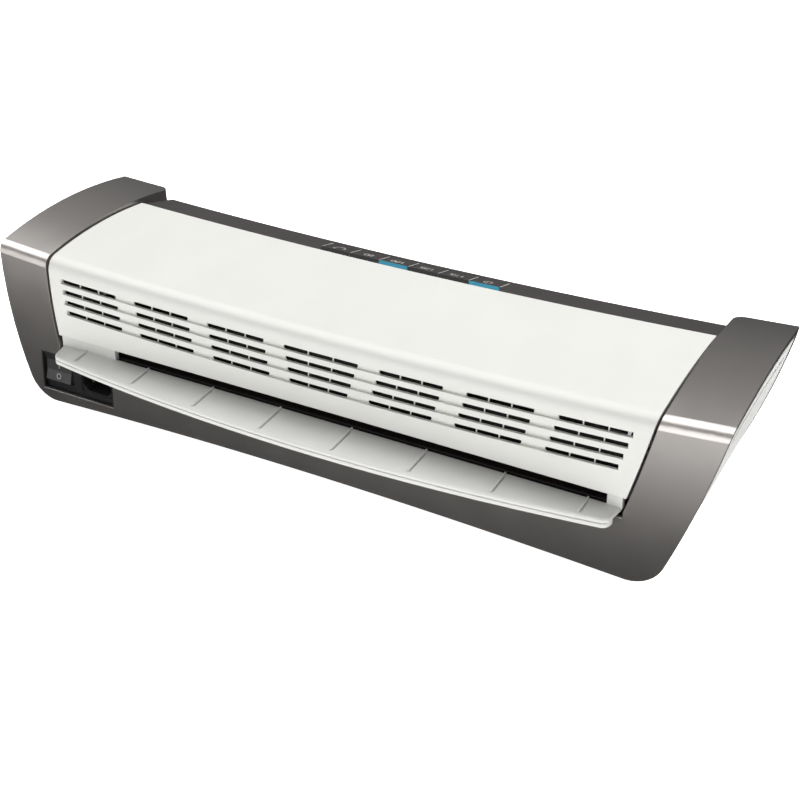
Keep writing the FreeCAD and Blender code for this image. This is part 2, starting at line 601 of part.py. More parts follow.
def make_base():
    pan = box(-PAN_HALF_X, PAN_HALF_X, PAN_FRONT_Y, PAN_BACK_Y, PAN_Z0, PAN_Z1)
    upright = [e for e in pan.Edges if abs(e.CenterOfMass.z - (PAN_Z0 + PAN_Z1) / 2) < 0.01]
    pan = pan.makeFillet(6.0, upright)
    pan = pan.cut(box(MAINS_X0 - 10, MAINS_X1 + 8, PAN_FRONT_Y - 5, -59.6, 0, 20))
    screws, feet = [], []
    for x, y in screw_places():
        pan = pan.cut(rod_z(x, y, 0, 20, 1.6))
        head = rod_z(x, y, PAN_Z0 - 2.0, PAN_Z0, 3.0)
        shank = rod_z(x, y, PAN_Z0, PAN_Z1 + 4.5, 1.5)
        drive = box(x - 1.8, x + 1.8, y - 0.35, y + 0.35, PAN_Z0 - 2.5, PAN_Z0 - 1.0)
        cross = box(x - 0.35, x + 0.35, y - 1.8, y + 1.8, PAN_Z0 - 2.5, PAN_Z0 - 1.0)
        screws.append(fuse([head, shank]).cut(drive).cut(cross))
    for n in range(9):
        x = 40 + n * 9.0
        pan = pan.cut(box(x, x + 3, -20, 24, 0, 20))
        pan = pan.cut(box(-x - 3, -x, -20, 24, 0, 20))
    for x in (-FOOT_X, FOOT_X):
        for y in (-FOOT_Y, FOOT_Y):
            foot = Part.makeCone(8.0, 9.0, PAN_Z0, Vector(x, y, 0), Vector(0, 0, 1))
            feet.append(foot)
    parts["base_pan"] = pan
    parts["base_screws"] = group(screws)
    parts["feet"] = group(feet)


def screw_places():
    return [(x, y) for x in (PLATE_LEFT_X + 8, PLATE_RIGHT_X - 6) for y in (-24.0, 30.0)]


# ---- mains panel --------------------------------------------------------------------------

def make_mains_panel():
    face, back = MAINS_FACE_Y, MAINS_FACE_Y + 2.6
    plate = box(MAINS_X0 + MAINS_GAP, MAINS_X1 - MAINS_GAP, face, back,
                MAINS_Z0 + MAINS_GAP, MAINS_Z1 - MAINS_GAP)
    rim = box(MAINS_X0 + MAINS_GAP, MAINS_X1 - MAINS_GAP, face - 8, face + 0.5,
              MAINS_Z0 + MAINS_GAP, MAINS_Z1 - MAINS_GAP)
    inside = box(MAINS_X0 + MAINS_RIM, MAINS_X1 - MAINS_RIM, -80, -50,
                 MAINS_Z0 + MAINS_RIM, MAINS_Z1 - MAINS_RIM)
    rim = rim.cut(inside).common(tower_block(0.15))
    flange = box(MAINS_X0 - 0.8, MAINS_X1 + 3, back, back + 1.4, MAINS_Z0 - 0.5, MAINS_Z1 + 1.5)
    rocker_hole = box(ROCKER_X - ROCKER_W / 2 - 1.0, ROCKER_X + ROCKER_W / 2 + 1.0, -80, -40,
                      ROCKER_Z - ROCKER_H / 2 - 1.0, ROCKER_Z + ROCKER_H / 2 + 1.0)
    inlet_hole = box(INLET_X - INLET_W / 2, INLET_X + INLET_W / 2, -80, -40,
                     INLET_Z - INLET_H / 2, INLET_Z + INLET_H / 2)
    parts["mains_bezel"] = fuse([plate, flange, rim]).cut(rocker_hole).cut(inlet_hole)
    body_y = back + 1.4
    housing = box(ROCKER_X - 12, ROCKER_X + 12, body_y, body_y + 18, ROCKER_Z - 9.5, ROCKER_Z + 9.5)
    well = box(ROCKER_X - ROCKER_W / 2 - 0.5, ROCKER_X + ROCKER_W / 2 + 0.5, body_y - 1, body_y + 12,
               ROCKER_Z - ROCKER_H / 2 - 0.8, ROCKER_Z + ROCKER_H / 2 + 0.8)
    sleeve = box(ROCKER_X - ROCKER_W / 2 - 0.95, ROCKER_X + ROCKER_W / 2 + 0.95, face + 0.4, body_y,
                 ROCKER_Z - ROCKER_H / 2 - 0.95, ROCKER_Z + ROCKER_H / 2 + 0.95)
    sleeve = sleeve.cut(box(ROCKER_X - ROCKER_W / 2 - 0.4, ROCKER_X + ROCKER_W / 2 + 0.4, -80, -40,
                            ROCKER_Z - ROCKER_H / 2 - 0.4, ROCKER_Z + ROCKER_H / 2 + 0.4))
    pivot_y = face + ROCKER_PIVOT_DEPTH
    pivot = rod_x(ROCKER_X - 10.8, ROCKER_X + 10.8, pivot_y, ROCKER_Z, ROCKER_PIN_R)
    parts["switch_body"] = fuse([housing.cut(well), sleeve, pivot])
    parts["switch_rocker"] = rocker_shape(pivot_y)
    inlet = box(INLET_X - 14.2, INLET_X + 14.2, body_y, body_y + 20, INLET_Z - 10.8, INLET_Z + 10.8)
    collar = box(INLET_X - INLET_W / 2 + 0.01, INLET_X + INLET_W / 2 - 0.01, face + 0.6, body_y,
                 INLET_Z - INLET_H / 2 + 0.01, INLET_Z + INLET_H / 2 - 0.01)
    socket = box(INLET_X - INLET_W / 2 + 0.8, INLET_X + INLET_W / 2 - 0.8, -80, body_y + 17,
                 INLET_Z - INLET_H / 2 + 0.8, INLET_Z + INLET_H / 2 - 0.8)
    chamfered = [e for e in socket.Edges if abs(e.CenterOfMass.z - (INLET_Z + INLET_H / 2 - 0.8)) > 1
                 and abs(e.CenterOfMass.y - (body_y + 17 - 80) / 2) < 0.01
                 and e.CenterOfMass.z < INLET_Z]
    socket = socket.makeChamfer(3.6, chamfered)
    inlet = fuse([inlet, collar]).cut(socket)
    tabs, pins = [], []
    for dx, dz in ((-7.0, -1.5), (0.0, 2.5), (7.0, -1.5)):
        x, z = INLET_X + dx, INLET_Z + dz
        pins.append(box(x - 1.0, x + 1.0, face + 5.0, body_y + 22, z - 2.0, z + 2.0))
        tabs.append(box(x - 1.0, x + 1.0, body_y + 10, body_y + 30, z - 2.0, z + 2.0))
    parts["power_inlet"] = inlet.cut(group(tabs))
    parts["inlet_pins"] = group(pins)


def rocker_shape(pivot_y):
    """Rocker with two shallow faces meeting at its middle, bored for the pin; its upper end is pressed in."""
    half = 6.9
    outline = [(-3.4, -half), (-2.7, 0.0), (-3.4, half), (1.0, half - 1.3), (4.0, 3.0), (4.0, -3.0),
               (1.0, -half + 1.3)]
    body = yz_slab([(pivot_y + y, ROCKER_Z + z) for y, z in outline],
                   ROCKER_X - ROCKER_W / 2 + 0.15, ROCKER_X + ROCKER_W / 2 - 0.15)
    body = body.cut(rod_x(ROCKER_X - 20, ROCKER_X + 20, pivot_y, ROCKER_Z, ROCKER_PIN_R + RUNNING))
    body.rotate(Vector(0, pivot_y, ROCKER_Z), Vector(1, 0, 0), -ROCKER_TILT)
    return body


# ---- frame, rollers and drive -------------------------------------------------------------

def plate_outline():
    return [(-37.0, PAN_Z1), (48.0, PAN_Z1), (48.0, PLATE_TOP_Z), (-46.0, PLATE_TOP_Z),
            (PLATE_FRONT_Y, 78.0), (PLATE_FRONT_Y, 40.0), (-37.0, 36.5)]


def make_frame_plates():
    bars = [(-43.0, 74.0), (0.0, 80.0), (42.0, 74.0), (40.0, 20.0)]
    for name, x0, inward in (("frame_plate_left", PLATE_LEFT_X, 1), ("frame_plate_right", PLATE_RIGHT_X, -1)):
        plate = yz_slab(plate_outline(), x0, x0 + PLATE_T)
        flange_x = (x0 + PLATE_T, x0 + PLATE_T + 12) if inward > 0 else (x0 - 12, x0)
        plate = fuse([plate, box(*flange_x, -34, 46, PAN_Z1, PAN_Z1 + 2.0)])
        for y in (-ROLLER_Y, ROLLER_Y):
            for z in (LOWER_Z, UPPER_Z):
                plate = plate.cut(rod_x(x0 - 5, x0 + 7, y, z, 6.5))
            plate = plate.cut(box(x0 - 1, x0 + PLATE_T + 1, y - 3, y + 3, UPPER_Z, SPRING_TOP_Z))
        for x, y in screw_places():
            plate = plate.cut(rod_z(x, y, 0, 20, 1.6))
        parts[name] = plate
    x0, x1 = PLATE_LEFT_X + PLATE_T, PLATE_RIGHT_X
    parts["tie_bars"] = group([rod_x(x0, x1, y, z, 3.0) for y, z in bars])


def make_rollers():
    bushes, springs = [], []
    for side, y in (("exit", -ROLLER_Y), ("infeed", ROLLER_Y)):
        for level, z in (("lower", LOWER_Z), ("upper", UPPER_Z)):
            core = rod_x(ROLLER_X0 - 1.0, ROLLER_X1 + 0.6, y, z, SHAFT_R)
            journal = rod_x(GEAR_X0 - 1.5, PLATE_RIGHT_X + PLATE_T + 4.0, y, z, JOURNAL_R)
            parts["shaft_%s_%s" % (side, level)] = fuse([core, journal])
            sleeve = rod_x(ROLLER_X0, ROLLER_X1, y, z, ROLLER_R).cut(rod_x(-200, 200, y, z, SHAFT_R))
            parts["roller_%s_%s" % (side, level)] = sleeve
            bore = rod_x(-250, 250, y, z, JOURNAL_R + RUNNING)
            for x0 in (PLATE_LEFT_X, PLATE_RIGHT_X):
                outward = -1 if x0 < 0 else 1
                bush = rod_x(x0, x0 + PLATE_T, y, z, 6.5)
                collar_x = x0 - 1.5 if outward < 0 else x0 + PLATE_T
                bushes.append(fuse([bush, rod_x(collar_x, collar_x + 1.5, y, z, 8.0)]).cut(bore))
                if level == "upper":
                    springs.append(pressure_spring(x0 + PLATE_T / 2, y))
    parts["roller_bushings"] = group(bushes)
    parts["pressure_springs"] = group(springs)


def pressure_spring(x, y):
    """Compression spring in the plate's slot that presses an upper bearing down."""
    foot_z = UPPER_Z + 8.6
    coil = Part.makeHelix(2.2, SPRING_TOP_Z - 0.9 - foot_z, 2.0)
    section = Part.Wire(Part.makeCircle(0.45, Vector(2.0, 0, 0), Vector(0, 1, 0)))
    spring = Part.Wire(coil).makePipeShell([section], True, False)
    spring.translate(Vector(x, y, foot_z))
    return spring


def gear_outline(teeth, phase, y, z):
    """Involute spur gear face in the plane x = 0; phase is the angle of one tooth's middle."""
    pitch_r = teeth * MODULE / 2
    base_r = pitch_r * math.cos(math.radians(20))
    tip_r, root_r = pitch_r + 0.85 * MODULE, pitch_r - 1.2 * MODULE
    pressure = math.radians(20)
    half_pitch = math.pi / (2 * teeth) - 0.11 / pitch_r + math.tan(pressure) - pressure

    def flank_angle(r):
        if r <= base_r:
            return half_pitch
        turn = math.acos(base_r / r)
        return half_pitch - (math.tan(turn) - turn)

    def at(r, angle):
        return Vector(0, y + r * math.cos(angle), z + r * math.sin(angle))

    low = max(root_r, base_r)
    radii = [low, (low + tip_r) / 2, tip_r]
    edges = []
    for n in range(teeth):
        middle = phase + 2 * math.pi * n / teeth
        following = middle + 2 * math.pi / teeth
        rising = [at(r, middle - flank_angle(r)) for r in radii]
        falling = [at(r, middle + flank_angle(r)) for r in reversed(radii)]
        root_in = at(root_r, middle - flank_angle(low))
        root_out = at(root_r, middle + flank_angle(low))
        next_in = at(root_r, following - flank_angle(low))
        if low > root_r + 1e-6:
            edges.append(Part.makeLine(root_in, rising[0]))
        edges.append(arc(*rising))
        edges.append(arc(rising[2], at(tip_r, middle), falling[0]))
        edges.append(arc(*falling))
        if low > root_r + 1e-6:
            edges.append(Part.makeLine(falling[2], root_out))
        edges.append(Part.makeLine(root_out, next_in))
    return Part.Face(Part.Wire(edges))


def gear(teeth, phase, y, z, bore_r):
    face = gear_outline(teeth, phase, y, z)
    face.translate(Vector(GEAR_X0, 0, 0))
    blank = face.extrude(Vector(GEAR_X1 - GEAR_X0, 0, 0))
    rim = rod_x(GEAR_X0 - 1, GEAR_X0 + 2.0, y, z, teeth * MODULE / 2 - 3.0)
    rim = rim.cut(rod_x(GEAR_X0 - 2, GEAR_X0 + 3, y, z, bore_r + 2.5))
    if teeth > PINION_TEETH:
        blank = blank.cut(rim)
    return blank.cut(rod_x(GEAR_X0 - 5, GEAR_X1 + 5, y, z, bore_r))


def meshed_phase(phase, teeth, other_teeth, direction):
    """Phase of a gear that meshes with one of the given phase, lying in the given direction from it."""
    return direction + math.pi + (direction - phase) * teeth / other_teeth - math.pi / other_teeth


def make_gears():
    phase = 0.0
    parts["gear_exit_lower"] = gear(ROLLER_TEETH, phase, -ROLLER_Y, LOWER_Z, GEAR_BORE_R)
    upper = meshed_phase(phase, ROLLER_TEETH, ROLLER_TEETH, math.pi / 2)
    parts["gear_exit_upper"] = gear(ROLLER_TEETH, upper, -ROLLER_Y, UPPER_Z, GEAR_BORE_R)
    idler = meshed_phase(phase, ROLLER_TEETH, IDLER_TEETH, 0.0)
    parts["idler_gear"] = gear(IDLER_TEETH, idler, 0.0, LOWER_Z, 3.0 + RUNNING)
    infeed = meshed_phase(idler, IDLER_TEETH, ROLLER_TEETH, 0.0)
    parts["gear_infeed_lower"] = gear(ROLLER_TEETH, infeed, ROLLER_Y, LOWER_Z, GEAR_BORE_R)
    infeed_upper = meshed_phase(infeed, ROLLER_TEETH, ROLLER_TEETH, math.pi / 2)
    parts["gear_infeed_upper"] = gear(ROLLER_TEETH, infeed_upper, ROLLER_Y, UPPER_Z, GEAR_BORE_R)
    pinion = meshed_phase(idler, IDLER_TEETH, PINION_TEETH, math.pi / 2)
    toothed = gear(PINION_TEETH, pinion, 0.0, MOTOR_Z, 1.0)
    shaft = rod_x(GEAR_X0 - 11.0, GEAR_X1 + 1.0, 0.0, MOTOR_Z, 3.0)
    parts["drive_pinion"] = fuse([toothed, shaft])
    post = rod_x(GEAR_X0 - 2.0, PLATE_LEFT_X, 0.0, LOWER_Z, 3.0)
    clip = rod_x(GEAR_X0 - 1.6, GEAR_X0 - 0.6, 0.0, LOWER_Z, 4.6)
    parts["idler_post"] = fuse([post, clip])


def make_motor():
    x1 = GEAR_X0 - 4.0
    bracket = yz_slab([(-50, 40), (-50, 54), (-30, 84), (30, 84), (50, 54), (50, 40), (30, 32), (-30, 32)],
                      x1 - 2.0, x1)
    bracket = bracket.cut(rod_x(x1 - 5, x1 + 5, 0.0, MOTOR_Z, 5.0))
    parts["motor_bracket"] = bracket
    places = ((-45.0, 47.0), (45.0, 47.0), (0.0, 79.0))
    parts["motor_standoffs"] = group([rod_x(x1, PLATE_LEFT_X, y, z, 3.0) for y, z in places])
    x2 = x1 - 2.0
    gearbox = rod_x(x2 - 12.0, x2, 0.0, MOTOR_Z, 23.0)
    gearbox = gearbox.cut(rod_x(x2 - 12.0, x2 + 1, 0.0, MOTOR_Z, 3.0 + RUNNING))
    ears = [box(x2 - 1.5, x2, y - 5, y + 5, MOTOR_Z - 4, MOTOR_Z + 4) for y in (-26.0, 26.0)]
    ears = [ear.cut(rod_x(x2 - 20, x2 + 1, 0.0, MOTOR_Z, 22.0)) for ear in ears]
    parts["motor_gearbox"] = fuse([gearbox] + ears)
    can = rod_x(x2 - 30.0, x2 - 12.0, 0.0, MOTOR_Z, 20.0)
    can = can.makeFillet(2.0, [e for e in can.Edges if e.CenterOfMass.x < x2 - 29])
    parts["motor_can"] = fuse([can, rod_x(x2 - 32.0, x2 - 30.0, 0.0, MOTOR_Z, 4.0)])


def make_heater():
    x0, x1 = PLATE_LEFT_X + PLATE_T, PLATE_RIGHT_X
    gap = 1.6
    sole, floor_z, rim = PATH_Z + gap, PATH_Z + gap + 3.0, PATH_Z + 12.0
    half = [(12.0, sole), (15.0, sole + 2.5), (13.0, rim), (10.5, rim), (10.5, floor_z)]
    upper = half + [(-y, z) for y, z in reversed(half)]
    lower = [(y, 2 * PATH_Z - z) for y, z in upper]
    parts["heater_shoe_upper"] = yz_slab(upper, x0, x1)
    parts["heater_shoe_lower"] = yz_slab(lower, x0, x1)
    top = floor_z
    strip = (x0 + 6, x1 - 6, -9.0, 9.0)
    parts["heating_elements"] = group([box(*strip, top, top + 1.6),
                                       box(*strip, 2 * PATH_Z - top - 1.6, 2 * PATH_Z - top)])
    cutouts = []
    for x in (-60.0, 20.0, 100.0):
        disc = rod_z(x, 0.0, top + 1.6, top + 7.0, 7.0)
        cutouts.append(fuse([disc, rod_z(x, 0.0, top + 7.0, top + 9.5, 4.0)]))
    parts["thermal_cutouts"] = group(cutouts)


def make_guides():
    x0, x1 = PLATE_LEFT_X + PLATE_T, PLATE_RIGHT_X
    entry = yz_slab([(59.5, 51.6), (43.0, 49.2), (43.0, 50.7), (59.5, 53.2)], x0, x1)
    parts["entry_guide"] = entry
    lower = yz_slab([(-56.5, 43.8), (-41.0, 44.8), (-41.0, 43.3), (-56.5, 42.3)], x0, x1)
    parts["exit_guide"] = lower


def make_power_board():
    board = box(-204, -172, -38, 36, 15.0, 16.6)
    legs = [rod_z(x, y, PAN_Z1, 15.0, 2.5) for x in (-195, -177) for y in (-33, 31)]
    parts["power_board"] = fuse([board] + legs)
    top = 16.6
    transformer = box(-200, -182, -32, -12, top, top + 13)
    relay = box(-200, -188, -6, 10, top, top + 11)
    capacitor = rod_z(-180, 0, top, top + 12, 5.0)
    terminals = box(-202, -178, 24, 32, top, top + 9)
    regulator = box(-184, -175, 12, 20, top, top + 6)
    parts["board_components"] = group([transformer, relay, capacitor, terminals, regulator])


MAKERS = [make_outer_casing, make_side_panels, make_top_cover, make_control_panel, make_indicators,
          make_keys, make_control_board, make_outfeed_shelf, make_exit_frame, make_vent_baffle,
          make_feed_side, make_base, make_mains_panel, make_frame_plates, make_rollers, make_gears,
          make_motor, make_heater, make_guides, make_power_board]

for maker in MAKERS:
    maker()

os.makedirs("parts", exist_ok=True)
for node, shape in parts.items():
    shape.exportStep("parts/%s.step" % node)
print(len(parts), "nodes")
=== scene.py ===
import json
import math

import bpy
from mathutils import Matrix, Vector


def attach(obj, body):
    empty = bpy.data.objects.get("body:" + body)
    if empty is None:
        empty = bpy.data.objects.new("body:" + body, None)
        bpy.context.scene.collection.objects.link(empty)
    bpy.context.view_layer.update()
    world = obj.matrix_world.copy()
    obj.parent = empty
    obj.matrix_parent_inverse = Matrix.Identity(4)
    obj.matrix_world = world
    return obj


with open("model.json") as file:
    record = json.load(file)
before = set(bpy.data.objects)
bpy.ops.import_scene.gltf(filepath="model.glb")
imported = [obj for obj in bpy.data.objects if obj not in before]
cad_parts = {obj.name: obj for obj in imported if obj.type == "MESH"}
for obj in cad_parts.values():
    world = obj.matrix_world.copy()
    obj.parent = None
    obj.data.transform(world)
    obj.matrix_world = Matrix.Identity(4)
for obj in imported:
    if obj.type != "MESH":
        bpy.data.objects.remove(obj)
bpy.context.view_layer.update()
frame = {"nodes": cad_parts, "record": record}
nodes = frame["nodes"]

MM = 0.001


# ---- materials ----------------------------------------------------------------------------

class Nodes:
    """A material's node tree, with short calls for the nodes that the finishes share."""

    def __init__(self, name):
        self.material = bpy.data.materials.new(name)
        self.material.use_nodes = True
        self.tree = self.material.node_tree
        self.shader = self.tree.nodes["Principled BSDF"]
        self.where = self.tree.nodes.new("ShaderNodeTexCoord").outputs["Object"]

    def add(self, kind, **settings):
        node = self.tree.nodes.new(kind)
        for key, value in settings.items():
            setattr(node, key, value)
        return node

    def link(self, output, target):
        self.tree.links.new(output, target)

    def noise(self, scale, detail=4.0, roughness=0.55, stretch=None):
        node = self.add("ShaderNodeTexNoise")
        node.inputs["Scale"].default_value = scale
        node.inputs["Detail"].default_value = detail
        node.inputs["Roughness"].default_value = roughness
        if stretch is None:
            self.link(self.where, node.inputs["Vector"])
        else:
            mapping = self.add("ShaderNodeMapping")
            mapping.inputs["Scale"].default_value = stretch
            self.link(self.where, mapping.inputs["Vector"])
            self.link(mapping.outputs["Vector"], node.inputs["Vector"])
        return node.outputs["Fac"]

    def spread(self, value, low, high, from_low=0.3, from_high=0.7):
        node = self.add("ShaderNodeMapRange")
        node.inputs["From Min"].default_value = from_low
        node.inputs["From Max"].default_value = from_high
        node.inputs["To Min"].default_value = low
        node.inputs["To Max"].default_value = high
        self.link(value, node.inputs["Value"])
        return node.outputs["Result"]

    def tint(self, factor, dark, light):
        node = self.add("ShaderNodeMix", data_type="RGBA")
        node.inputs["A"].default_value = (*dark, 1.0)
        node.inputs["B"].default_value = (*light, 1.0)
        self.link(factor, node.inputs["Factor"])
        return node.outputs["Result"]

    def bump(self, height, strength, distance, normal=None):
        node = self.add("ShaderNodeBump")
        node.inputs["Strength"].default_value = strength
        node.inputs["Distance"].default_value = distance
        self.link(height, node.inputs["Height"])
        if normal is not None:
            self.link(normal, node.inputs["Normal"])
        return node.outputs["Normal"]

    def rounded(self, radius):
        node = self.add("ShaderNodeBevel", samples=4)
        node.inputs["Radius"].default_value = radius
        return node.outputs["Normal"]


def scaled(color, factor):
    return tuple(min(1.0, channel * factor) for channel in color)


def plastic(name, color, rough, grain, depth, variation=0.05, coat=0.0, coat_rough=0.2, metallic=0.0,
            edge_radius=0.0004, rough_span=0.06, specular=0.5):
    """Moulded plastic: spark-eroded grain, slow colour drift, uneven gloss and softened edges."""
    n = Nodes(name)
    s = n.shader
    s.inputs["Metallic"].default_value = metallic
    s.inputs["Coat Weight"].default_value = coat
    s.inputs["Coat Roughness"].default_value = coat_rough
    s.inputs["Specular IOR Level"].default_value = specular
    drift = n.noise(14.0, 3.0)
    n.link(n.tint(n.spread(drift, 0.0, 1.0), scaled(color, 1 - variation), scaled(color, 1 + variation)),
           s.inputs["Base Color"])
    smears = n.noise(55.0, 5.0, 0.6, (1.0, 0.45, 1.0))
    n.link(n.spread(smears, rough - rough_span, rough + rough_span), s.inputs["Roughness"])
    fine = n.noise(grain, 3.0, 0.6)
    n.link(n.bump(fine, 0.5, depth, n.rounded(edge_radius)), s.inputs["Normal"])
    return n.material


def metal(name, color, rough, brush_axis, anisotropy=0.4, brush=900.0, depth=0.00002, spangle=0.05):
    """Plated or ground metal with fine lines at right angles to brush_axis."""
    n = Nodes(name)
    s = n.shader
    s.inputs["Metallic"].default_value = 1.0
    s.inputs["Anisotropic"].default_value = anisotropy
    stretch = [0.03, 0.03, 0.03]
    stretch[brush_axis] = 1.0
    lines = n.noise(brush, 4.0, 0.6, tuple(stretch))
    cloud = n.noise(60.0, 4.0)
    n.link(n.tint(n.spread(cloud, 0.0, 1.0), scaled(color, 1 - spangle), scaled(color, 1 + spangle)),
           s.inputs["Base Color"])
    n.link(n.spread(lines, rough - 0.08, rough + 0.1), s.inputs["Roughness"])
    n.link(n.bump(lines, 0.4, depth, n.rounded(0.0002)), s.inputs["Normal"])
    return n.material


def rubber(name, color, rough, grain=900.0, depth=0.00005):
    n = Nodes(name)
    s = n.shader
    s.inputs["Specular IOR Level"].default_value = 0.35
    s.inputs["Sheen Weight"].default_value = 0.08
    dust = n.noise(35.0, 5.0, 0.65)
    n.link(n.tint(n.spread(dust, 0.0, 1.0, 0.4, 0.75), color, scaled(color, 1.5)), s.inputs["Base Color"])
    n.link(n.spread(dust, rough - 0.08, rough + 0.08), s.inputs["Roughness"])
    n.link(n.bump(n.noise(grain, 4.0, 0.6), 0.5, depth, n.rounded(0.0004)), s.inputs["Normal"])
    return n.material


def lit_window(name, color, glow):
    """Translucent window over a lamp, with a slightly uneven tint and glow."""
    n = Nodes(name)
    s = n.shader
    s.inputs["Coat Weight"].default_value = 0.6
    s.inputs["Coat Roughness"].default_value = 0.12
    patch = n.noise(120.0, 2.0)
    n.link(n.tint(n.spread(patch, 0.0, 1.0), scaled(color, 0.9), scaled(color, 1.1)), s.inputs["Base Color"])
    n.link(n.tint(n.spread(patch, 0.0, 1.0), scaled(color, 0.85), scaled(color, 1.1)),
           s.inputs["Emission Color"])
    s.inputs["Emission Strength"].default_value = glow
    n.link(n.spread(n.noise(400.0), 0.25, 0.35), s.inputs["Roughness"])
    n.link(n.bump(n.noise(1500.0, 2.0), 0.3, 0.00002, n.rounded(0.0002)), s.inputs["Normal"])
    return n.material


def circuit_board(name):
    """Green solder mask with faint copper tracks under it."""
    n = Nodes(name)
    s = n.shader
    tracks = n.add("ShaderNodeTexBrick", offset=0.5)
    tracks.inputs["Scale"].default_value = 220.0
    tracks.inputs["Mortar Size"].default_value = 0.02
    tracks.inputs["Color1"].default_value = (0.012, 0.13, 0.06, 1)
    tracks.inputs["Color2"].default_value = (0.018, 0.16, 0.075, 1)
    tracks.inputs["Mortar"].default_value = (0.04, 0.26, 0.12, 1)
    n.link(n.where, tracks.inputs["Vector"])
    n.link(tracks.outputs["Color"], s.inputs["Base Color"])
    s.inputs["Coat Weight"].default_value = 0.5
    s.inputs["Coat Roughness"].default_value = 0.25
    n.link(n.spread(n.noise(300.0), 0.35, 0.5), s.inputs["Roughness"])
    n.link(n.bump(tracks.outputs["Fac"], 0.3, 0.00005), s.inputs["Normal"])
    return n.material


# plastic: colour, roughness, grain scale, grain depth in metres, colour variation
# metal: colour, roughness, brushed axis, anisotropy, brush scale; rubber: colour, roughness
FINISHES = {
    "grey_shell": plastic("grey_shell", (0.405, 0.384, 0.368), 0.30, 2600.0, 0.000012, 0.02, metallic=0.97,
                          edge_radius=0.0006, rough_span=0.015),
    "white_cover": plastic("white_cover", (0.86, 0.86, 0.82), 0.34, 2400.0, 0.000008, 0.012,
                           edge_radius=0.0006),
    "white_shelf": plastic("white_shelf", (0.76, 0.76, 0.735), 0.38, 2400.0, 0.00001, 0.015,
                           edge_radius=0.0005),
    "side_panel": plastic("side_panel", (0.86, 0.86, 0.84), 0.36, 2400.0, 0.00001, 0.015,
                          edge_radius=0.0004),
    "dark_panel": plastic("dark_panel", (0.041, 0.036, 0.036), 0.55, 1800.0, 0.00003, 0.05,
                          edge_radius=0.0005),
    "key_caps": plastic("key_caps", (0.040, 0.035, 0.035), 0.5, 1800.0, 0.00003, 0.05,
                        edge_radius=0.0003),
    "lens_lit": lit_window("lens_lit", (0.015, 0.20, 0.30), 0.55),
    "lens_dark": plastic("lens_dark", (0.010, 0.010, 0.012), 0.18, 1200.0, 0.000004, 0.1, coat=0.5,
                         coat_rough=0.08, edge_radius=0.0002),
    "black_plastic": plastic("black_plastic", (0.010, 0.010, 0.011), 0.5, 1500.0, 0.00003, 0.1),
    "rocker_black": plastic("rocker_black", (0.040, 0.038, 0.038), 0.34, 1200.0, 0.000006, 0.1, coat=0.4,
                            coat_rough=0.1),
    "plated_contact": metal("plated_contact", (0.75, 0.72, 0.64), 0.22, 2),
    "zinc_steel": metal("zinc_steel", (0.56, 0.58, 0.60), 0.38, 0, 0.2, 300.0),
    "ground_steel": metal("ground_steel", (0.62, 0.62, 0.63), 0.25, 0, 0.5, 1500.0),
    "silicone": rubber("silicone", (0.30, 0.055, 0.03), 0.55),
    "gear_plastic": plastic("gear_plastic", (0.74, 0.72, 0.66), 0.42, 1500.0, 0.00001, 0.03,
                            edge_radius=0.0001),
    "pinion_brass": metal("pinion_brass", (0.72, 0.52, 0.22), 0.28, 0),
    "aluminium": metal("aluminium", (0.72, 0.72, 0.73), 0.34, 1, 0.4, 1200.0),
    "heater_film": plastic("heater_film", (0.50, 0.30, 0.08), 0.35, 700.0, 0.00003, 0.15, coat=0.3),
    "board_green": circuit_board("board_green"),
    "components": plastic("components", (0.03, 0.03, 0.034), 0.4, 900.0, 0.00002, 0.2),
    "foot_rubber": rubber("foot_rubber", (0.018, 0.018, 0.018), 0.75),
}

for part in frame["record"]["subparts"]:
    mesh = nodes[part["node"]].data
    mesh.materials.clear()
    mesh.materials.append(FINISHES[part["material_slot"]])


# ---- printed marks on the control strip ---------------------------------------------------

STRIP_Y, STRIP_Z = 37.8, 97.4       # where the strip's own measures start, in mm
STRIP_SLOPE = math.radians(13.2)
BOW_CENTRE_Z = 4875.0               # height of the centre of the bow that the strip follows
KEY_PITCH, KEY_X0 = 20.8, -64.4
MARK_T = 0.04                       # thickness of a printed mark
MARK_TOP = 0.05                     # height of its face above the strip
MARK_U = 17.5                       # middle of the marks along the strip
SIGN_LINE = 0.6                     # line width of the signs
DIGIT_SIZE, DIGIT_LINE = 1.15, 0.7
DIGIT_W, DIGIT_H, DIGIT_ADVANCE = 2.0, 3.6, 2.9
DIVIDER_U = (12.3, 26.0)
DIVIDER_LINE = 0.7
PRINT = plastic("print_grey", (0.52, 0.51, 0.49), 0.5, 1500.0, 0.00001, 0.08, edge_radius=0.00005)


def strip_matrix(x):
    """Places a piece made in (across, along, above), in mm, on the control strip at x."""
    scale = Matrix.Scale(MM, 4)
    lay = Matrix.Translation((0, STRIP_Y, STRIP_Z)) @ Matrix.Rotation(-STRIP_SLOPE, 4, "X")
    centre = Matrix.Translation((0, 0, BOW_CENTRE_Z))
    turn = Matrix.Rotation(-x / (BOW_CENTRE_Z - STRIP_Z), 4, "Y")
    return scale @ centre @ turn @ centre.inverted() @ lay


def add_mesh(name, vertices, faces, matrix, material, body):
    mesh = bpy.data.meshes.new(name)
    mesh.from_pydata([matrix @ Vector(v) for v in vertices], [], faces)
    mesh.validate()
    mesh.update()
    mesh.materials.append(material)
    piece = bpy.data.objects.new(name, mesh)
    bpy.context.scene.collection.objects.link(piece)
    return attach(piece, body)


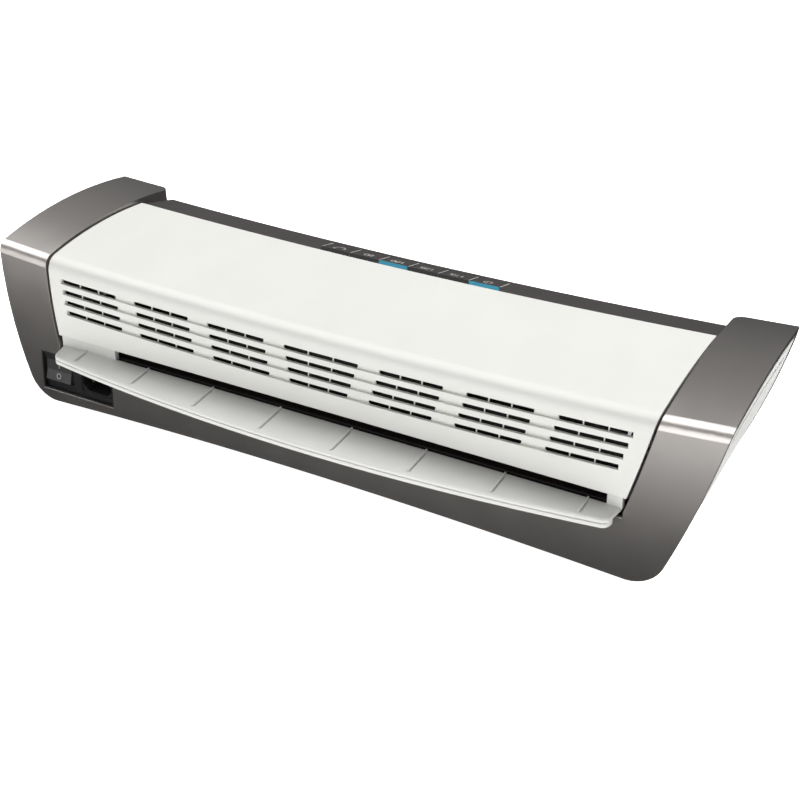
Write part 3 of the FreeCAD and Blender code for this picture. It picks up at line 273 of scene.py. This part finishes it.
def ribbon(path, width, top, closed=False):
    """Flat printed line along (x, y) points, with its thickness below top."""
    count = len(path)
    vertices, faces = [], []
    for i, point in enumerate(path):
        before = Vector(path[i - 1] if (i > 0 or closed) else point)
        after = Vector(path[(i + 1) % count] if (i < count - 1 or closed) else point)
        along = (after - before).normalized()
        side = Vector((-along.y, along.x)) * width / 2
        for offset in (side, -side):
            for height in (top, top - MARK_T):
                vertices.append((point[0] + offset.x, point[1] + offset.y, height))
    spans = count if closed else count - 1
    for i in range(spans):
        a, b = 4 * i, 4 * ((i + 1) % count)
        faces += [(a, a + 2, b + 2, b), (a + 1, b + 1, b + 3, a + 3), (a, b, b + 1, a + 1),
                  (a + 2, a + 3, b + 3, b + 2)]
    if not closed:
        last = 4 * (count - 1)
        faces += [(0, 1, 3, 2), (last, last + 2, last + 3, last + 1)]
    return vertices, faces


def joined(shapes):
    vertices, faces = [], []
    for shape_vertices, shape_faces in shapes:
        base = len(vertices)
        vertices += shape_vertices
        faces += [tuple(base + i for i in face) for face in shape_faces]
    return vertices, faces


def arc_points(cx, cy, radius, start, end, steps=20):
    angles = [math.radians(start + (end - start) * i / steps) for i in range(steps + 1)]
    return [(cx + radius * math.cos(a), cy + radius * math.sin(a)) for a in angles]


def digit_strokes(digit):
    """Centre lines of one digit in a cell 2 wide and 3.6 high."""
    strokes = {
        "0": [arc_points(1.0, 1.0, 1.0, 180, 360) + arc_points(1.0, 2.6, 1.0, 0, 180) + [(0.0, 1.0)]],
        "1": [[(0.3, 2.9), (1.1, 3.6), (1.1, 0.0)]],
        "2": [arc_points(1.0, 2.6, 1.0, 165, -35, 12) + [(0.0, 0.0), (2.0, 0.0)]],
        "5": [[(1.9, 3.6), (0.25, 3.6), (0.1, 2.0)] + arc_points(0.9, 1.1, 1.1, 115, -150, 14)],
        "7": [[(0.0, 3.6), (2.0, 3.6), (0.8, 0.0)]],
        "8": [arc_points(1.0, 2.75, 0.85, 0, 360, 18), arc_points(1.0, 0.95, 0.95, 0, 360, 18)],
    }
    return strokes[digit]


def number_shape(text):
    """A number read by someone at the feed side, so it is turned half round on the strip."""
    width = DIGIT_ADVANCE * len(text) - (DIGIT_ADVANCE - DIGIT_W)
    shapes = []
    for i, digit in enumerate(text):
        for stroke in digit_strokes(digit):
            placed = [(-(x + i * DIGIT_ADVANCE - width / 2) * DIGIT_SIZE, -(y - DIGIT_H / 2) * DIGIT_SIZE)
                      for x, y in stroke]
            shapes.append(ribbon(placed, DIGIT_LINE, MARK_TOP))
    return joined(shapes)


def power_shape():
    ring = ribbon(arc_points(0, 0, 2.6, -60, 240), SIGN_LINE, MARK_TOP)
    bar = ribbon([(0.0, -3.4), (0.0, -0.6)], SIGN_LINE, MARK_TOP)
    return joined([ring, bar])


def reverse_shape():
    """A dot and an arrow that curves back to it."""
    curve = ribbon(arc_points(0.0, 0.0, 3.0, -20, 190), SIGN_LINE, MARK_TOP)
    head = ribbon([(1.3, -0.2), (2.85, -1.5), (4.3, 0.1)], SIGN_LINE, MARK_TOP)
    dot = ribbon(arc_points(-3.2, -2.6, 0.5, 0, 324, 9), 0.9, MARK_TOP, True)
    return joined([curve, head, dot])


marks = [("key_reverse", reverse_shape()),
         ("key_80_micron", number_shape("80")),
         ("key_100_micron", number_shape("100")),
         ("key_125_micron", number_shape("125")),
         ("key_175_micron", number_shape("175")),
         ("key_power", power_shape())]
for n, (key, (vertices, faces)) in enumerate(marks):
    x = KEY_X0 + (n + 0.5) * KEY_PITCH
    place = strip_matrix(x) @ Matrix.Translation((0, MARK_U, 0))
    mark = add_mesh("mark_" + key, vertices, faces, place, PRINT, key)

for n in range(len(marks) + 1):
    x = KEY_X0 + n * KEY_PITCH
    vertices, faces = ribbon([(0.0, DIVIDER_U[0]), (0.0, DIVIDER_U[1])], DIVIDER_LINE, MARK_TOP)
    line = add_mesh("divider_%d" % n, vertices, faces, strip_matrix(x), PRINT, "chassis")


# ---- marks on the rocker ------------------------------------------------------------------

ROCKER_X, ROCKER_PIVOT_Y, ROCKER_Z = -191.9, -61.65, 24.1     # its pin, in mm
ROCKER_HALF, ROCKER_TILT = 6.9, 11.7
FACE_MIDDLE, FACE_END = -2.7, -3.4      # depth of its face at the ridge and at the ends
ROCKER_MARK_TOP = 0.03
ON_HALF, ON_LINE = 1.8, 0.7
OFF_RADIUS, OFF_LINE = 1.6, 0.6
ROCKER_PRINT = plastic("rocker_print", (0.30, 0.30, 0.29), 0.5, 1500.0, 0.00001, 0.05, edge_radius=0.00005)


def rocker_matrix(foot, head):
    """Frame on a rocker face between two (y, z) points: x across, y up the face, z outwards."""
    up = Vector((0, head[0] - foot[0], head[1] - foot[1])).normalized()
    across = Vector((1, 0, 0))
    out = across.cross(up)
    middle = Vector((ROCKER_X, (foot[0] + head[0]) / 2, (foot[1] + head[1]) / 2))
    turn = Matrix((across, up, out)).transposed().to_4x4()
    return Matrix.Scale(MM, 4) @ Matrix.Translation(middle) @ turn


def rocker_point(depth, height):
    """A point of the rocker's section as (y, z), tilted about its pin into its rest position."""
    tilt = math.radians(-ROCKER_TILT)
    y = depth * math.cos(tilt) - height * math.sin(tilt)
    z = depth * math.sin(tilt) + height * math.cos(tilt)
    return (ROCKER_PIVOT_Y + y, ROCKER_Z + z)


ridge = rocker_point(FACE_MIDDLE, 0.0)
upper = rocker_matrix(ridge, rocker_point(FACE_END, ROCKER_HALF))
lower = rocker_matrix(rocker_point(FACE_END, -ROCKER_HALF), ridge)
on_bar = ribbon([(0, -ON_HALF), (0, ON_HALF)], ON_LINE, ROCKER_MARK_TOP)
off_ring = ribbon(arc_points(0, 0, OFF_RADIUS, 0, 345, 23), OFF_LINE, ROCKER_MARK_TOP, True)
on_mark = add_mesh("mark_on", *on_bar, upper, ROCKER_PRINT, "power_rocker")
off_mark = add_mesh("mark_off", *off_ring, lower, ROCKER_PRINT, "power_rocker")


# ---- floor, light and camera --------------------------------------------------------------

FLOOR_GLOW = 1.0
FLOOR_REACH = 8.0


def floor_material():
    n = Nodes("floor_paper")
    s = n.shader
    s.inputs["Specular IOR Level"].default_value = 0.2
    n.link(n.tint(n.noise(3.0), (0.95, 0.95, 0.95), (0.96, 0.96, 0.96)), s.inputs["Base Color"])
    s.inputs["Roughness"].default_value = 0.9
    s.inputs["Emission Color"].default_value = (1.0, 1.0, 1.0, 1.0)
    s.inputs["Emission Strength"].default_value = FLOOR_GLOW
    return n.material


floor_mesh = bpy.data.meshes.new("floor")
corners = [(-FLOOR_REACH, -FLOOR_REACH, 0), (FLOOR_REACH, -FLOOR_REACH, 0),
           (FLOOR_REACH, FLOOR_REACH, 0), (-FLOOR_REACH, FLOOR_REACH, 0)]
floor_mesh.from_pydata(corners, [], [(0, 1, 2, 3)])
floor_mesh.materials.append(floor_material())
floor = bpy.data.objects.new("floor", floor_mesh)
bpy.context.scene.collection.objects.link(floor)
floor.visible_glossy = False

# brightness of the studio from straight down (0) over the horizon (0.5) to straight up (1)
SKY = [(0.00, 0.03), (0.26, 0.05), (0.36, 0.08), (0.58, 0.10),
       (0.66, 0.20), (0.79, 0.33), (0.88, 0.40), (1.00, 0.36)]
GLOW_FROM = Vector((-0.22, -0.97, 0.03)).normalized()
GLOW, GLOW_EDGE, GLOW_CORE = 0.85, 0.90, 0.995    # strength, and cosines from its middle


def studio_world():
    """Grey studio that brightens overhead, with a soft glow low in front."""
    world = bpy.data.worlds.new("studio")
    world.use_nodes = True
    sky = world.node_tree

    def node(kind, **values):
        made = sky.nodes.new(kind)
        for name, value in values.items():
            made.inputs[name].default_value = value
        return made

    direction = sky.nodes.new("ShaderNodeTexCoord").outputs["Generated"]
    split = node("ShaderNodeSeparateXYZ")
    height = node("ShaderNodeMapRange", **{"From Min": -1.0})
    ramp = node("ShaderNodeValToRGB")
    stops = ramp.color_ramp.elements
    while len(stops) < len(SKY):
        stops.new(0.5)
    for stop, (position, level) in zip(stops, SKY):
        stop.position = position
        stop.color = (level, level, level, 1.0)
    facing = node("ShaderNodeVectorMath")
    facing.operation = "DOT_PRODUCT"
    facing.inputs[1].default_value = GLOW_FROM
    glow = node("ShaderNodeMapRange", **{"From Min": GLOW_EDGE, "From Max": GLOW_CORE, "To Max": GLOW})
    glow.interpolation_type = "SMOOTHSTEP"
    total = node("ShaderNodeMix")
    total.data_type, total.blend_type = "RGBA", "ADD"
    total.inputs["Factor"].default_value = 1.0
    sky.links.new(direction, split.inputs["Vector"])
    sky.links.new(split.outputs["Z"], height.inputs["Value"])
    sky.links.new(height.outputs["Result"], ramp.inputs["Fac"])
    sky.links.new(direction, facing.inputs[0])
    sky.links.new(facing.outputs["Value"], glow.inputs["Value"])
    sky.links.new(ramp.outputs["Color"], total.inputs["A"])
    sky.links.new(glow.outputs["Result"], total.inputs["B"])
    sky.links.new(total.outputs["Result"], sky.nodes["Background"].inputs["Color"])
    bpy.context.scene.world = world


def softbox(name, place, target, size, power, gloss=True, diffuse=True):
    """A soft lamp. gloss: it shows in reflections. diffuse: it lights matt surfaces."""
    light = bpy.data.lights.new(name, "AREA")
    light.shape = "RECTANGLE"
    light.size, light.size_y = size
    light.energy = power
    lamp = bpy.data.objects.new(name, light)
    lamp.location = place
    lamp.rotation_euler = (Vector(target) - Vector(place)).to_track_quat("-Z", "Y").to_euler()
    lamp.visible_glossy = gloss
    lamp.visible_diffuse = diffuse
    bpy.context.scene.collection.objects.link(lamp)


studio_world()
softbox("overhead", (-0.6, -0.05, 1.6), (-0.6, -0.05, 0.0), (2.4, 1.3), 34.0, diffuse=False)
softbox("front_strip", (-0.45, -1.75, 0.62), (0, 0, 0.08), (2.2, 1.1), 18.0, diffuse=False)
softbox("back_key", (0.2, 0.9, 1.7), (0, 0, 0.05), (1.8, 0.8), 35.0, gloss=False)
softbox("front_low", (0.1, -2.0, 0.24), (0, 0, 0.05), (2.4, 0.6), 3.5, gloss=False)

CAMERA_PLACE = (0.39497, -0.66140, 0.45936)
CAMERA_DOWN, CAMERA_TURN = 29.42, 29.54     # degrees

camera_data = bpy.data.cameras.new("camera")
camera_data.lens = 65.0
camera_data.sensor_width = 36.0
camera = bpy.data.objects.new("camera", camera_data)
camera.location = CAMERA_PLACE
camera.rotation_euler = (math.radians(90 - CAMERA_DOWN), 0.0, math.radians(CAMERA_TURN))
bpy.context.scene.collection.objects.link(camera)
bpy.context.scene.camera = camera
bpy.context.scene.view_settings.view_transform = "Standard"
